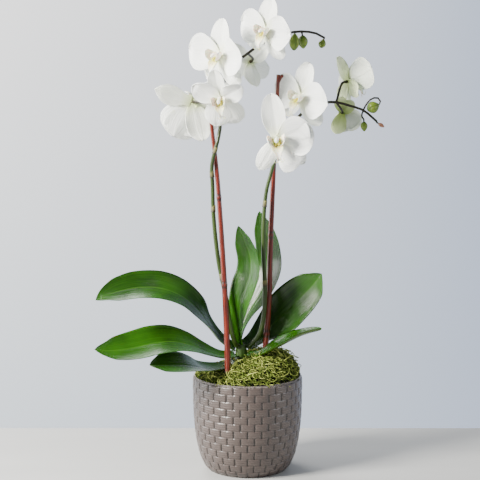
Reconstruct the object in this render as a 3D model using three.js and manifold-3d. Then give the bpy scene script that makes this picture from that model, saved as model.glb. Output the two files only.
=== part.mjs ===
// A potted moth orchid (Phalaenopsis): a woven-look ceramic pot, its nursery liner,
// bark and moss, and a plant with seven leaves and two flower spikes tied to canes.
// Millimetres, +Z up. The origin is the centre of the pot's flat underside, +X is
// the side that the buds lean to, and -Y is the side that most flowers face.
import * as THREE from 'three';
import { mergeVertices } from 'three/addons/utils/BufferGeometryUtils.js';
import Module from 'manifold-3d';

const wasm = await Module();
wasm.setup();

// ---------------------------------------------------------------- driving dimensions

const CLEARANCE = 0.3;            // between pieces that touch

const POT_HEIGHT = 122.5;
const POT_RADIUS = 70;            // outside, from the shoulder up to the rim
const POT_FOOT_RADIUS = 50;
const POT_SHOULDER = 95;          // height where the straight wall starts
const POT_WALL = 5;
const POT_FLOOR = 6;
const RIM_ROUND = 1.6;

const LINER_DROP = 12.5;          // from the pot's rim down to the liner's rim
const LINER_WALL = 1.2;
const LINER_TOP_PLAY = 2.5;       // between the liner's rim and the pot's wall
const LINER_FOOT_RADIUS = 43;

const MOSS_EDGE_RISE = 0.5;       // above the pot's rim, at the wall
const MOSS_PEAK_RISE = 24;        // above the pot's rim, at the middle
const MOSS_LEAN = 0.4;            // how much the mound climbs for each mm along +X

const CROWN_RADIUS = 8.5;
const CROWN_DEPTH = 22;           // below the moss's peak
const CROWN_RISE = 16;            // above the moss's peak
const CROWN_PLAY = 0.5;           // between its skin and the middle of a leaf's foot

const STAKE_RADIUS = 3.5;         // at the foot
const STAKE_TIP_RADIUS = 2.1;
const STAKE_FOOT_HEIGHT = 60;     // how far the canes' feet are from the table
const STAKE_BEND_RISE = 14;       // above the pot's rim, where a cane starts to bend

const SPIKE_RADIUS = 2.75;        // at the foot
const SPIKE_TIP_RADIUS = 1.2;
const PEDICEL_RADIUS = 1.25;      // flower stalk
const RECEPTACLE_RADIUS = 1.9;    // where a stalk meets its flower
const BUD_STALK_RADIUS = 0.95;

const LEAF_THICKNESS = 2.6;       // at the midrib, near the foot
const LEAF_NECK = 0.34;           // share of a leaf's width left at its foot
const LEAF_FOLD = 0.22;           // how far the margins stand above the groove

const SEPAL_LENGTH = 46;
const PETAL_LENGTH = 44;
const ORGAN_THICKNESS = 1.2;      // sepals and petals
const LIP_LENGTH = 15;
const LIP_WING_LENGTH = 12;
const LIP_THICKNESS = 1.5;
const COLUMN_LENGTH = 8;
const COLUMN_RADIUS = 2.9;

// ---------------------------------------------------------------- the plant's layout

// Places are [x, y, height above the crown's top]. Routes run from foot to tip, and
// foot is the height at which a leaf or spike leaves the crown's side.
const CROWN_AT = [-8, 0];
const CROWN_TOP = POT_HEIGHT + MOSS_PEAK_RISE + CROWN_RISE;
const placed = ([x, y, height]) => new THREE.Vector3(x, y, CROWN_TOP + height);

// A cane's foot is a share of the way from the pot's axis to the liner's wall.

const STAKES = {
  stake_left: {
    bearing: -124,
    share: 0.92,
    route: [[-28, -28, 60], [-34, -20, 162], [-39, -16, 227], [-47, -12, 295]],
  },
  stake_right: {
    bearing: 0,
    share: 0.455,
    route: [[27, 1, 54], [29, 3, 128], [32, 4, 204], [34, 4, 253], [36, 0, 298], [38, -4, 342]],
  },
};

// face is the way the upper side looks, at the foot and at the tip.
const LEAVES = {
  leaf_1: {
    foot: -6,
    route: [[-34, -2, 7], [-54, -14, 35], [-72, -23, 59], [-95, -30, 73],
      [-121, -36, 80], [-150, -42, 78], [-171, -45, 73], [-189, -48, 65]],
    width: 52, face: [[0.1, -0.25, 1], [-0.1, -0.74, 0.7]],
  },
  leaf_2: {
    foot: -13,
    route: [[-33, -14, -12], [-54, -26, -3], [-76, -39, 8], [-99, -52, 14],
      [-121, -62, 13], [-144, -70, 9], [-170, -78, 8], [-188, -82, 10]],
    width: 50, face: [[0, -0.3, 1], [0, -0.75, 0.66]],
  },
  leaf_3: {
    foot: -22,
    route: [[-29, -13.5, -26], [-44, -27, -26], [-59, -43, -21], [-77, -57, -15],
      [-98, -69, -12], [-121, -78, -10]],
    width: 48, face: [[-0.2, -0.2, 1], [-0.1, -0.6, 0.8]],
  },
  leaf_4: {
    route: [[-10, -5, 0.6], [-12, -7, 14], [-11, -11, 40], [-8, -13, 60], [-2, -12, 78],
      [3, -11, 94], [3, -9, 112], [-4, -6, 132], [-12, -2, 152]],
    width: 40, face: [[-0.75, -0.66, 0], [-0.66, -0.75, 0]],
  },
  leaf_5: {
    route: [[-12, 6.5, 0.8], [-10, 12, 11], [-5, 18, 23], [3, 22, 41], [15, 25, 60],
      [27, 29, 85], [31, 31, 105], [24, 33, 139], [15, 35, 166]],
    width: 45, face: [[-0.8, -0.6, 0], [-0.6, -0.8, 0]],
  },
  leaf_6: {
    foot: -4,
    route: [[11, 13, 4], [24, 19, 14], [42, 16, 31], [60, 9, 51], [79, 3, 71],
      [94, -2, 91]],
    width: 56, face: [[-0.3, -0.85, 0.4], [-0.3, -0.9, 0.3]],
  },
  leaf_7: {
    foot: -12,
    route: [[15, -16, -10], [29, -20, -2], [45, -23, 7], [63, -25, 16],
      [79, -28, 22], [93, -31, 26]],
    width: 40, face: [[0, -0.2, 1], [0, 0.02, 1]],
  },
};

// turn, tip and roll are degrees: to the viewer's left, upwards, and clockwise.
// cup and reflex are how far petal tips come forward and sepal tips fall back, as
// shares of their length. petals and laterals are where those lobes point, in degrees
// either side of the dorsal sepal, and the shares beside them are of the usual lengths.
// dorsal is that sepal's spread in degrees and its share of length.
// from is the point of the route that a stalk grows from.
const SPIKES = {
  flower_spike_left: {
    foot: -2,
    route: [[-18, -13, 9], [-21, -16, 22], [-24, -16, 38], [-27, -13, 60],
      [-37, -11, 110], [-43, -12, 169], [-44, -14, 207], [-45, -19, 226], [-42, -24, 244],
      [-37, -25, 262], [-34, -16, 282], [-36, -6, 305], [-31, 0, 329], [-20, 2, 352], [0, 3, 368],
      [14, 4, 378],
      [34, 6, 388], [50, 8, 393], [66, 9, 395], [84, 9, 393], [94, 9, 388]],
    flowers: [
      {
        at: [23, -21, 396], turn: 40, tip: -5, roll: 12, size: 0.9, cup: 0.05, reflex: 0.1, from: 15,
        laterals: [140, 128],
      },
      {
        at: [-34, -24, 366], turn: 42, tip: -5, roll: 7, size: 0.98, cup: 0.25, reflex: 0.1, from: 13,
        laterals: [142, 140],
      },
      {
        at: [-34, -50, 315], turn: 8, tip: -26, roll: -8, size: 0.84, cup: 0.1, reflex: 0.08, from: 12,
        petals: [66, 52], petalShares: [0.9, 1], laterals: [160, 160], lateralShare: 1.1,
      },
      {
        at: [-69, 14, 307], turn: 162, tip: -5, roll: 72, size: 1.14, cup: 0.08, reflex: 0.1, from: 11,
        petals: [77, 116], petalShares: [1, 0.85], laterals: [119, 140], dorsal: [30, 1],
      },
      {
        at: [3, 40, 356], turn: 148, tip: -25, roll: 176, size: 0.74, cup: 0.2, reflex: 0.1, from: 14,
      },
    ],
    buds: [
      { at: [58, 3, 382], axis: [-0.05, 0, -1], length: 21, width: 13, from: 17 },
      { at: [69, 14, 382], axis: [0.1, 0.2, -1], length: 17, width: 13, from: 18 },
      { at: [93, 9, 380], axis: [-0.35, 0, -1], length: 11.5, width: 9.5, from: 20 },
    ],
  },
  flower_spike_right: {
    foot: -4,
    route: [[7, -3, 2], [14, -4, 11], [18, -6, 23], [21, -7, 42], [22, -7, 68],
      [20, -6, 122], [21, -5, 174], [24, -5, 199], [29, -6, 218], [37, -8, 246], [47, -6, 269],
      [63, -2, 289], [78, 2, 301], [93, 5, 306], [111, 8, 307], [130, 8, 302], [145, 7, 297],
      [162, 5, 283]],
    flowers: [
      {
        at: [36, -45, 264.5], turn: 4, tip: -8, roll: -8, size: 1.04, cup: 0.12, reflex: 0.1, from: 10,
        petals: [84, 46], petalShares: [1, 0.86], laterals: [140, 142], dorsal: [42, 1.18],
      },
      {
        at: [66, -16, 314], turn: 40, tip: 0, roll: 13, size: 0.96, cup: 0.05, reflex: 0.1, from: 12,
      },
      {
        at: [126, 22, 332], turn: -122, tip: 5, roll: 32, size: 0.88, cup: 0.35, reflex: 0.05, from: 14,
        petals: [88, 94], petalShares: [0.96, 1], laterals: [114, 150], lateralShare: 0.76,
        dorsal: [38, 0.88],
      },
      {
        at: [119, 16, 293], turn: 180, tip: -20, roll: 165, size: 0.62, cup: 0.15, reflex: 0.06, from: 14,
        petals: [72, 50], petalShares: [1, 0.76], laterals: [150, 160], lateralShare: 0.7,
      },
    ],
    buds: [
      {
        at: [157, 4, 301], axis: [-0.9, 0, -0.4], length: 16, width: 15, from: 16,
        over: [[149, 6, 305], [156, 5, 312], [164, 5, 312]],
      },
      {
        at: [146, 4, 277], axis: [0.05, 0, -1], length: 12.5, width: 9, from: 16,
        over: [[143, 5, 290]],
      },
      { at: [167.5, 4, 278.5], axis: [0.8, 0, -0.5], length: 9, width: 5, from: 17 },
    ],
  },
};

// ---------------------------------------------------------------- finishes

const finish = (color, roughness) => new THREE.MeshStandardMaterial({ color, roughness, metalness: 0 });

const GLAZE = finish('#8d847d', 0.45);
const BLACK_PLASTIC = finish('#24262a', 0.5);
const BARK = finish('#5a3a26', 0.95);
const MOSS = finish('#4c5a22', 0.98);
const CANE = finish('#9a4b37', 0.5);
const LEAF = finish('#3c6f1b', 0.3);
const STEM = finish('#3f5a2a', 0.45);
const WHITE_TISSUE = finish('#f5f5f2', 0.55);
const YELLOW_TISSUE = finish('#e9dc9b', 0.5);
const BUD = finish('#93a83c', 0.45);

// ---------------------------------------------------------------- geometry helpers

const X = new THREE.Vector3(1, 0, 0);
const Z = new THREE.Vector3(0, 0, 1);
const radians = THREE.MathUtils.degToRad;
const vector = (point) => new THREE.Vector3(...point);
const mix = THREE.MathUtils.lerp;

// Six times the signed volume: positive when the faces point out.
function signedVolume(points, faces) {
  let sum = 0;
  for (const [a, b, c] of faces) {
    sum += points[a].dot(new THREE.Vector3().crossVectors(points[b], points[c]));
  }
  return sum;
}

function closedGeometry(points, faces) {
  const inward = signedVolume(points, faces) < 0;
  const geometry = new THREE.BufferGeometry().setFromPoints(points);
  geometry.setIndex(faces.flatMap(([a, b, c]) => (inward ? [a, c, b] : [a, b, c])));
  return geometry;
}

// A skin over rings of points, closed at each end by a pole.
function loft(rings, startPole, endPole) {
  const sides = rings[0].length;
  const points = [...rings.flat(), startPole, endPole];
  const start = points.length - 2;
  const end = points.length - 1;
  const last = (rings.length - 1) * sides;
  const faces = [];
  for (let side = 0; side < sides; side += 1) {
    const next = (side + 1) % sides;
    faces.push([start, next, side]);
    faces.push([end, last + side, last + next]);
    for (let ring = 0; ring < last; ring += sides) {
      faces.push([ring + side, ring + next, ring + sides + next]);
      faces.push([ring + side, ring + sides + next, ring + sides + side]);
    }
  }
  return closedGeometry(points, faces);
}

// A round tube along a smooth curve through points; radiusAt takes the share of the way along.
function tube(points, radiusAt, steps, sides) {
  const curve = new THREE.CatmullRomCurve3(points, false, 'centripetal');
  const { normals, binormals } = curve.computeFrenetFrames(steps, false);
  const rings = normals.map((normal, step) => {
    const centre = curve.getPointAt(step / steps);
    const radius = radiusAt(step / steps);
    return Array.from({ length: sides }, (_, side) => {
      const angle = (2 * Math.PI * side) / sides;
      return centre.clone()
        .addScaledVector(normal, radius * Math.cos(angle))
        .addScaledVector(binormals[step], radius * Math.sin(angle));
    });
  });
  return loft(rings, curve.getPointAt(0), curve.getPointAt(1));
}

// A sheet of star-shaped outline about its middle, between an upper and a lower face.
function disc(directions, reach, rings, upper, lower) {
  const ringsOn = (face) => rings.map((share) => directions.map((angle) => {
    const x = Math.sin(angle) * reach(angle) * share;
    const y = Math.cos(angle) * reach(angle) * share;
    return new THREE.Vector3(x, y, face(x, y, angle));
  }));
  const top = ringsOn(upper);
  const under = ringsOn(lower).reverse();
  const middle = (face) => new THREE.Vector3(0, 0, face(0, 0, 0));
  return loft([...top, ...under], middle(upper), middle(lower));
}

function toSolid(geometry) {
  const bare = geometry.clone();
  bare.deleteAttribute('normal');
  bare.deleteAttribute('uv');
  const merged = mergeVertices(bare);
  const mesh = new wasm.Mesh({
    numProp: 3,
    vertProperties: new Float32Array(merged.attributes.position.array),
    triVerts: new Uint32Array(merged.index.array),
  });
  return new wasm.Manifold(mesh);
}

function toGeometry(solid) {
  const { vertProperties, triVerts } = solid.getMesh();
  const geometry = new THREE.BufferGeometry();
  geometry.setAttribute('position', new THREE.BufferAttribute(vertProperties, 3));
  geometry.setIndex(new THREE.BufferAttribute(triVerts, 1));
  return geometry;
}

const join = (first, ...others) => toGeometry(
  others.reduce((whole, other) => whole.add(toSolid(other)), toSolid(first)),
);

const cut = (body, ...cutters) => toGeometry(
  cutters.reduce((rest, cutter) => rest.subtract(toSolid(cutter)), toSolid(body)),
);

const group = new THREE.Group();

function add(name, geometry, material, parent = group) {
  const mesh = new THREE.Mesh(geometry, material);
  mesh.name = name;
  parent.add(mesh);
}

// A lathe whose profile is (radius, height), turned so that its axis is +Z.
function turned(profile, segments) {
  const points = profile.map(([radius, height]) => new THREE.Vector2(radius, height));
  return new THREE.LatheGeometry(points, segments).rotateX(Math.PI / 2);
}

// ---------------------------------------------------------------- pot and liner

const BELLY = new THREE.CubicBezierCurve(
  new THREE.Vector2(POT_RADIUS, POT_SHOULDER),
  new THREE.Vector2(POT_RADIUS, POT_SHOULDER * 0.47),
  new THREE.Vector2(mix(POT_FOOT_RADIUS, POT_RADIUS, 0.6), POT_SHOULDER * 0.085),
  new THREE.Vector2(POT_FOOT_RADIUS, 0),
);
const BELLY_STEPS = 6;
const POT_SEGMENTS = 48;

function pot() {
  const outside = BELLY.getPoints(BELLY_STEPS).map(({ x, y }) => [x, y]).reverse();
  const innerRadius = POT_RADIUS - POT_WALL;
  const inside = outside
    .filter(([, height]) => height > POT_FLOOR * 1.5)
    .map(([radius, height]) => [radius - POT_WALL, height])
    .reverse();
  return turned([
    [0, 0],
    ...outside,
    [POT_RADIUS, POT_HEIGHT - RIM_ROUND],
    [POT_RADIUS - RIM_ROUND, POT_HEIGHT],
    [innerRadius + RIM_ROUND, POT_HEIGHT],
    [innerRadius, POT_HEIGHT - RIM_ROUND],
    ...inside,
    [inside.at(-1)[0] - POT_WALL, POT_FLOOR],
    [0, POT_FLOOR],
  ], POT_SEGMENTS);
}

const LINER_TOP = POT_HEIGHT - LINER_DROP;
const LINER_BASE = POT_FLOOR + CLEARANCE;
const LINER_RADIUS = POT_RADIUS - POT_WALL - LINER_TOP_PLAY;
const LINER_SLOPE = (LINER_RADIUS - LINER_FOOT_RADIUS) / (LINER_TOP - LINER_BASE);
const linerInside = (height) => LINER_FOOT_RADIUS + LINER_SLOPE * (height - LINER_BASE) - LINER_WALL;

function liner() {
  return turned([
    [0, LINER_BASE],
    [LINER_FOOT_RADIUS, LINER_BASE],
    [LINER_RADIUS, LINER_TOP],
    [LINER_RADIUS - LINER_WALL, LINER_TOP],
    [LINER_FOOT_RADIUS - LINER_WALL, LINER_BASE + LINER_WALL],
    [0, LINER_BASE + LINER_WALL],
  ], 36);
}

// ---------------------------------------------------------------- canes

const STAKE_SIDES = 8;
const STAKE_ROOM = linerInside(STAKE_FOOT_HEIGHT) - STAKE_RADIUS;

// A cane runs straight up out of the bark, and bends only above the pot's rim.
function stake({ bearing, share, route }, extra = 0) {
  const x = STAKE_ROOM * share * Math.cos(radians(bearing));
  const y = STAKE_ROOM * share * Math.sin(radians(bearing));
  const foot = vector([x, y, STAKE_FOOT_HEIGHT - extra]);
  const bend = vector([x, y, POT_HEIGHT + STAKE_BEND_RISE]);
  const radiusAt = (along) => mix(STAKE_RADIUS, STAKE_TIP_RADIUS, along ** 1.5) + extra;
  return tube([foot, bend, ...route.map(placed)], radiusAt, 16, STAKE_SIDES);
}

// ---------------------------------------------------------------- crown and leaves

const CROWN_FOOT = CROWN_TOP - CROWN_RISE - CROWN_DEPTH;
const crownRadius = (share) => CROWN_RADIUS * (1 - 0.25 * share ** 3);

function crown(extra = 0) {
  const [x, y] = CROWN_AT;
  const ends = [vector([x, y, CROWN_FOOT - extra]), vector([x, y, CROWN_TOP + extra])];
  return tube(ends, (share) => crownRadius(share) + extra, 6, 10);
}

// The points of a leaf or spike, its foot seated on the crown's skin under its route.
// girth is how far its upper edge leans back over its foot when it climbs.
function fromCrown({ foot, route }, girth) {
  const points = route.map(placed);
  if (foot === undefined) {
    return points;
  }
  const axis = vector([...CROWN_AT, CROWN_TOP + foot]);
  const away = points[0].clone().sub(axis);
  const climb = Math.sqrt(Math.max(0, away.z / away.length()));
  const share = (axis.z - CROWN_FOOT) / (CROWN_TOP - CROWN_FOOT);
  away.setZ(0).setLength(crownRadius(share) + CROWN_PLAY + girth * climb);
  return [axis.add(away), ...points];
}

// Share of a leaf's full width at a share of its length.
function bladeShare(along) {
  const widening = mix(LEAF_NECK, 1, THREE.MathUtils.smoothstep(along, 0, 0.5));
  const rounding = Math.max(0, (along - 0.55) / 0.45);
  return widening * Math.sqrt(1 - rounding ** 2);
}

const BLADE_STATIONS = [0, 0.1, 0.22, 0.35, 0.48, 0.61, 0.74, 0.85, 0.93, 0.98];

// A grooved section: margin, top, margin, underside, as (across, above, below) shares.
const BLADE_SECTION = [
  [-1, 1, 0], [-0.5, 0.4, 0], [0, 0, 0], [0.5, 0.4, 0],
  [1, 1, 0], [0.5, 0.4, 0.8], [0, 0, 1], [-0.5, 0.4, 0.8],
];

function leaf(blade, extra = 0) {
  const { width, face } = blade;
  const curve = new THREE.CatmullRomCurve3(fromCrown(blade, 0), false, 'centripetal');
  const rings = BLADE_STATIONS.map((along) => {
    const centre = curve.getPointAt(along);
    const tangent = curve.getTangentAt(along);
    centre.addScaledVector(tangent, along === 0 ? -extra : 0);
    const look = vector(face[0]).lerp(vector(face[1]), along);
    const side = new THREE.Vector3().crossVectors(tangent, look).normalize();
    const up = new THREE.Vector3().crossVectors(side, tangent);
    const half = (width / 2) * bladeShare(along) + extra;
    const thickness = LEAF_THICKNESS * (1 - 0.45 * along) + 2 * extra;
    return BLADE_SECTION.map(([across, above, below]) => centre.clone()
      .addScaledVector(side, across * half)
      .addScaledVector(up, above * half * LEAF_FOLD - below * thickness)
      .addScaledVector(up, extra * (1 - Math.abs(across))));
  });
  const foot = rings[0][2].clone().lerp(rings[0][6], 0.5);
  return loft(rings, foot, curve.getPointAt(1));
}

// ---------------------------------------------------------------- flowers

// How far two directions are apart, the short way round.
const between = (a, b) => Math.abs(THREE.MathUtils.euclideanModulo(a - b + Math.PI, 2 * Math.PI) - Math.PI);

// The outline about the heart: a rounded blade for each lobe, and least between them.
function lobeReach(lobes, least) {
  return (angle) => lobes.reduce((reach, { angle: middle, spread, length }) => {
    const away = Math.min(1, between(angle, middle) / spread);
    return Math.max(reach, length * Math.sqrt(Math.cos((Math.PI / 2) * away)));
  }, least);
}

const FAN = [-0.92, -0.7, -0.45, -0.2, 0, 0.2, 0.45, 0.7, 0.92];
const SMALL_FAN = [-0.8, -0.4, 0, 0.4, 0.8];

const lobe = (degrees, spread, length) => ({ angle: radians(degrees), spread: radians(spread), length });

const LEAST_STEP = radians(2);

// The directions of every lobe's fan, in order around the heart.
function directionsOf(lobes, fan) {
  const sorted = lobes
    .flatMap(({ angle, spread }) => fan.map((share) => angle + share * spread))
    .map((angle) => THREE.MathUtils.euclideanModulo(angle, 2 * Math.PI))
    .sort((a, b) => a - b);
  return sorted.filter((angle, index) => index === 0 || angle - sorted[index - 1] > LEAST_STEP);
}

// A whorl of lobes that share one heart; bend is how far tips lean along +Z.
function whorl(lobes, { least, lift, bend, thickness }) {
  const tipReach = Math.max(...lobes.map(({ length }) => length));
  const middle = (x, y) => lift + (bend * (x * x + y * y)) / tipReach;
  const upper = (x, y) => middle(x, y) + thickness / 2;
  const lower = (x, y) => middle(x, y) - thickness / 2;
  return disc(directionsOf(lobes, FAN), lobeReach(lobes, least), [0.55, 1], upper, lower);
}

const PETAL_LIFT = ORGAN_THICKNESS + CLEARANCE;

// The column stands clear of petals that come forward about it.
const lipLift = (cup) => PETAL_LIFT + ORGAN_THICKNESS / 2 + CLEARANCE + cup * COLUMN_RADIUS;

function sepals({ size, reflex, laterals = [128, 128], lateralShare = 0.95, dorsal = [42, 1] }) {
  const length = SEPAL_LENGTH * size;
  const lobes = [
    lobe(0, dorsal[0], length * dorsal[1]),
    lobe(laterals[0], 42, length * lateralShare),
    lobe(-laterals[1], 42, length * lateralShare),
  ];
  return whorl(lobes, { least: 3, lift: 0, bend: -reflex, thickness: ORGAN_THICKNESS });
}

function petals({ size, cup, petals: [right, left] = [84, 84], petalShares = [1, 1] }) {
  const length = PETAL_LENGTH * size;
  const lobes = [lobe(right, 72, length * petalShares[0]), lobe(-left, 72, length * petalShares[1])];
  return whorl(lobes, { least: 3, lift: PETAL_LIFT, bend: cup, thickness: ORGAN_THICKNESS });
}

// The lip hangs from the foot of the column and comes forward with its two wings.
function lipAndColumn({ size, cup }) {
  const base = lipLift(cup);
  const lobes = [
    lobe(66, 34, LIP_WING_LENGTH * size),
    lobe(-66, 34, LIP_WING_LENGTH * size),
    lobe(180, 34, LIP_LENGTH * size),
  ];
  const foot = base + LIP_THICKNESS / 2 + 0.6;
  const middle = (x, y) => foot + 0.75 * Math.hypot(x, y);
  const upper = (x, y) => middle(x, y) + LIP_THICKNESS / 2;
  const lower = (x, y) => middle(x, y) - LIP_THICKNESS / 2;
  const lip = disc(directionsOf(lobes, SMALL_FAN), lobeReach(lobes, 3.2), [0.5, 1], upper, lower);
  const column = tube(
    [[0, 1, base], [0, 1, base + 2], [0, 2, base + COLUMN_LENGTH * size]].map(vector),
    (share) => COLUMN_RADIUS * size * (1 - 0.25 * Math.sin(Math.PI * share)),
    4,
    6,
  );
  return join(lip.translate(0, -1.5, 0), column);
}

// Turns a flower made facing +Z, with +Y up, to face its own way.
function facing({ turn, tip, roll }) {
  const heading = new THREE.Quaternion().setFromAxisAngle(Z, -radians(turn));
  const lift = new THREE.Quaternion().setFromAxisAngle(X, radians(90 - tip));
  const twist = new THREE.Quaternion().setFromAxisAngle(Z, -radians(roll));
  return heading.multiply(lift).multiply(twist);
}

function addFlower(number, flower) {
  const place = new THREE.Group();
  place.position.copy(placed(flower.at));
  place.quaternion.copy(facing(flower));
  add(`flower_${number}_sepals`, sepals(flower), WHITE_TISSUE, place);
  add(`flower_${number}_petals`, petals(flower), WHITE_TISSUE, place);
  add(`flower_${number}_lip`, lipAndColumn(flower), YELLOW_TISSUE, place);
  group.add(place);
}

// ---------------------------------------------------------------- buds

function bud({ at, axis, length, width }) {
  const direction = vector(axis).normalize();
  const foot = placed(at).addScaledVector(direction, -length / 2);
  const tip = placed(at).addScaledVector(direction, length / 2);
  const radiusAt = (share) => (width / 2) * Math.sin(Math.PI * (0.06 + 0.9 * share ** 0.9));
  return tube([foot, tip], radiusAt, 6, 8);
}

// ---------------------------------------------------------------- flower spikes

// A stalk leaves the spike and meets the back of its flower square on.
function pedicel(start, flower) {
  const forward = Z.clone().applyQuaternion(facing(flower));
  const seat = placed(flower.at).addScaledVector(forward, -(ORGAN_THICKNESS / 2 + CLEARANCE));
  const behind = (distance) => seat.clone().addScaledVector(forward, -distance);
  const radiusAt = (share) => mix(PEDICEL_RADIUS, RECEPTACLE_RADIUS, share ** 4);
  return tube([placed(start), behind(7), behind(3), behind(0)], radiusAt, 8, 6);
}

function budStalk(start, { at, axis, length, over = [] }) {
  const direction = vector(axis).normalize();
  const behind = (distance) => placed(at)
    .addScaledVector(direction, -(length / 2 + CLEARANCE + distance));
  const points = [...[start, ...over].map(placed), behind(2), behind(0)];
  return tube(points, () => BUD_STALK_RADIUS, 7, 5);
}

function mainStem(plan, extra = 0) {
  const radiusAt = (share) => mix(SPIKE_RADIUS, SPIKE_TIP_RADIUS, share ** 1.4) + extra;
  return tube(fromCrown(plan, SPIKE_RADIUS), radiusAt, 52, 8);
}

function spike(plan) {
  const { route, flowers, buds } = plan;
  const stalks = flowers.map((flower) => pedicel(route[flower.from], flower));
  const budStalks = buds.map((one) => budStalk(route[one.from], one));
  return join(mainStem(plan), ...stalks, ...budStalks);
}

// ---------------------------------------------------------------- bark and moss

const FILL_DIRECTIONS = Array.from({ length: 30 }, (_, step) => (step * Math.PI) / 15);

function bark() {
  const base = LINER_BASE + LINER_WALL + CLEARANCE;
  const radiusAt = (height) => linerInside(height) - CLEARANCE * 2;
  const plug = turned([
    [0, base],
    [radiusAt(base), base],
    [radiusAt(LINER_TOP), LINER_TOP],
    [0, LINER_TOP],
  ], 36);
  return cut(plug, ...Object.values(STAKES).map((plan) => stake(plan, CLEARANCE)));
}

function moss() {
  const radius = POT_RADIUS - POT_WALL - 2 * CLEARANCE;
  const edge = POT_HEIGHT + MOSS_EDGE_RISE;
  const upper = (x, y) => {
    const peak = Math.max(POT_HEIGHT + MOSS_PEAK_RISE + MOSS_LEAN * x - edge, 3);
    const inward = Math.max(0, 1 - (x * x + y * y) / radius ** 2);
    return edge + peak * inward ** 0.6;
  };
  const lower = () => LINER_TOP + CLEARANCE;
  const mound = disc(FILL_DIRECTIONS, () => radius, [0.35, 0.65, 0.85, 0.95, 1], upper, lower);
  return cut(
    mound,
    ...Object.values(STAKES).map((plan) => stake(plan, CLEARANCE)),
    crown(CLEARANCE),
    ...Object.values(LEAVES).map((blade) => leaf(blade, CLEARANCE)),
    ...Object.values(SPIKES).map((plan) => mainStem(plan, CLEARANCE)),
  );
}

// ---------------------------------------------------------------- assembly

add('pot', pot(), GLAZE);
add('nursery_liner', liner(), BLACK_PLASTIC);
add('bark_mix', bark(), BARK);
add('moss_top', moss(), MOSS);
for (const [name, plan] of Object.entries(STAKES)) {
  add(name, stake(plan), CANE);
}
add('crown_stem', crown(), STEM);
for (const [name, blade] of Object.entries(LEAVES)) {
  add(name, leaf(blade), LEAF);
}
for (const [name, plan] of Object.entries(SPIKES)) {
  add(name, spike(plan), STEM);
}
Object.values(SPIKES).flatMap(({ flowers }) => flowers)
  .forEach((flower, index) => addFlower(index + 1, flower));
Object.values(SPIKES).flatMap(({ buds }) => buds)
  .forEach((one, index) => add(`bud_${index + 1}`, bud(one), BUD));

export default group;
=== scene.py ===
# %% [markdown]
# # A potted moth orchid
# The frame holds a plain solid for each real piece: pot, canes, leaves, spikes, sepals,
# petals, lips and buds. This lesson reads each solid's place and pose from the frame and
# grows the living shape over it. Everything is in metres, with +Z up.

# %% Load the frame
import math
import random

import bmesh
import bpy
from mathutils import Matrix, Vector, noise


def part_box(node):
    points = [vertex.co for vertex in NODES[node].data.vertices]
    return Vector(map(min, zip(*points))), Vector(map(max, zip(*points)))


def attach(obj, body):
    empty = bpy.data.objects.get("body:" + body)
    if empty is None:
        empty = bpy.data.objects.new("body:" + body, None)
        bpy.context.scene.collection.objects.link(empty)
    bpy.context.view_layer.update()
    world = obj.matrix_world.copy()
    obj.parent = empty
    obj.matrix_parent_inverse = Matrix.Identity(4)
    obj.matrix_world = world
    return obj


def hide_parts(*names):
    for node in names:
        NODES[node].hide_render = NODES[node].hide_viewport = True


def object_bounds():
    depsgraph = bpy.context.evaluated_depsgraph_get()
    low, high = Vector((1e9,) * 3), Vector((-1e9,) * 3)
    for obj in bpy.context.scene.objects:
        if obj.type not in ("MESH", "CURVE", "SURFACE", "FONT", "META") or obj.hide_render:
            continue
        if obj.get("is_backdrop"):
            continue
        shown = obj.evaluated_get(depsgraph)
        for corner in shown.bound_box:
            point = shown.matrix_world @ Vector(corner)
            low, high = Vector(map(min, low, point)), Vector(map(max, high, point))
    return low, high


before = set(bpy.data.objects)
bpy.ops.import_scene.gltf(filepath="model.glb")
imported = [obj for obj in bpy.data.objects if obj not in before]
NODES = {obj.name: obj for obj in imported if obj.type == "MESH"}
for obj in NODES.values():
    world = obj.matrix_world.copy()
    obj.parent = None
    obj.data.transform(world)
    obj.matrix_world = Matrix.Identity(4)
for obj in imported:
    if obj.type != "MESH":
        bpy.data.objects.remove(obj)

CAD_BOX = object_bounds()
MM = 0.001
print(len(NODES), "nodes in a box of", [round(v, 3) for v in CAD_BOX[1] - CAD_BOX[0]])

# %% [markdown]
# Colours are easiest to choose as sRGB hex values, but shaders want linear light. One
# function does that, and one more adds a shader node with its settings and its links.


# %% Colour and node helpers
def linear(code):
    """Turns '#rrggbb' into a linear RGBA tuple."""
    def channel(text):
        value = int(text, 16) / 255
        return value / 12.92 if value <= 0.04045 else ((value + 0.055) / 1.055) ** 2.4
    return (*(channel(code[i:i + 2]) for i in (1, 3, 5)), 1.0)


def add(tree, kind, sockets=None, **settings):
    """Adds one node. sockets maps an input to a value, or to an output to link from."""
    made = tree.nodes.new(kind)
    for name, value in settings.items():
        setattr(made, name, value)
    for key, value in (sockets or {}).items():
        if isinstance(value, bpy.types.NodeSocket):
            tree.links.new(value, made.inputs[key])
        else:
            made.inputs[key].default_value = value
    return made


MIX_COLOUR, MIX_A, MIX_B = 2, 6, 7      # a colour Mix node's output and its two inputs


def blended(tree, factor, low, high):
    """Mixes two colours, each a hex code or an output, by a factor from 0 to 1."""
    sockets = {0: factor}
    for key, colour in ((MIX_A, low), (MIX_B, high)):
        sockets[key] = linear(colour) if isinstance(colour, str) else colour
    return add(tree, "ShaderNodeMix", sockets, data_type="RGBA").outputs[MIX_COLOUR]


def spread(tree, value, low, high):
    """Stretches the part of a value between low and high to the range 0 to 1."""
    return add(tree, "ShaderNodeMapRange", {0: value, 1: low, 2: high}).outputs[0]


def calc(tree, operation, first, second=0.0, third=0.0):
    """One step of arithmetic on numbers or outputs."""
    sockets = {0: first, 1: second, 2: third}
    return add(tree, "ShaderNodeMath", sockets, operation=operation).outputs[0]


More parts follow.
